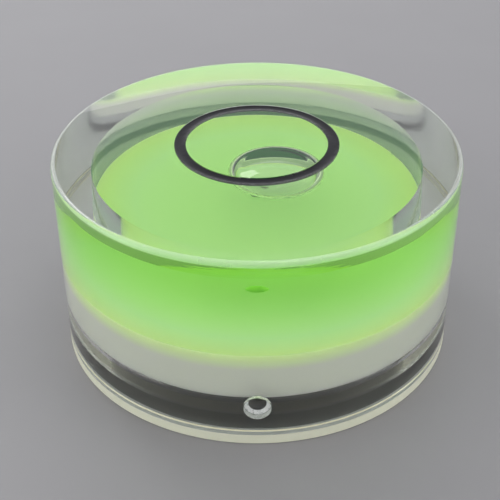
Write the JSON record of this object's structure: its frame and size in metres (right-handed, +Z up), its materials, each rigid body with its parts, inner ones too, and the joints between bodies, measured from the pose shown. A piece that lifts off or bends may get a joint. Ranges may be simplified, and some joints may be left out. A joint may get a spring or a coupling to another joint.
{
  "type": "bullseye level",
  "caption": "Clear round bullseye level: a drum with a domed chamber of green liquid, a bubble under a black sight ring, a white disc below and a clear base.",
  "frame": {"origin": "centre of the underside", "axes": "+Z up through the sight face along the drum's axis, -Y towards the filling port"},
  "size_m": [0.03, 0.03, 0.0153],
  "materials": {
    "clear_acrylic": "polished clear acrylic",
    "black_enamel": "gloss black filling",
    "green_liquid": "clear green dyed liquid",
    "white_plastic": "opal white plastic",
    "clear_base": "clear acrylic with a rough-cut edge",
    "clear_cement": "clear pin under dried cement"
  },
  "bodies": {
    "root": {"clear_body": "clear_acrylic", "sight_ring": "black_enamel", "level_liquid": "green_liquid", "white_disc": "white_plastic", "base_plug": "clear_base", "fill_plug": "clear_cement"}
  },
  "joints": []
}
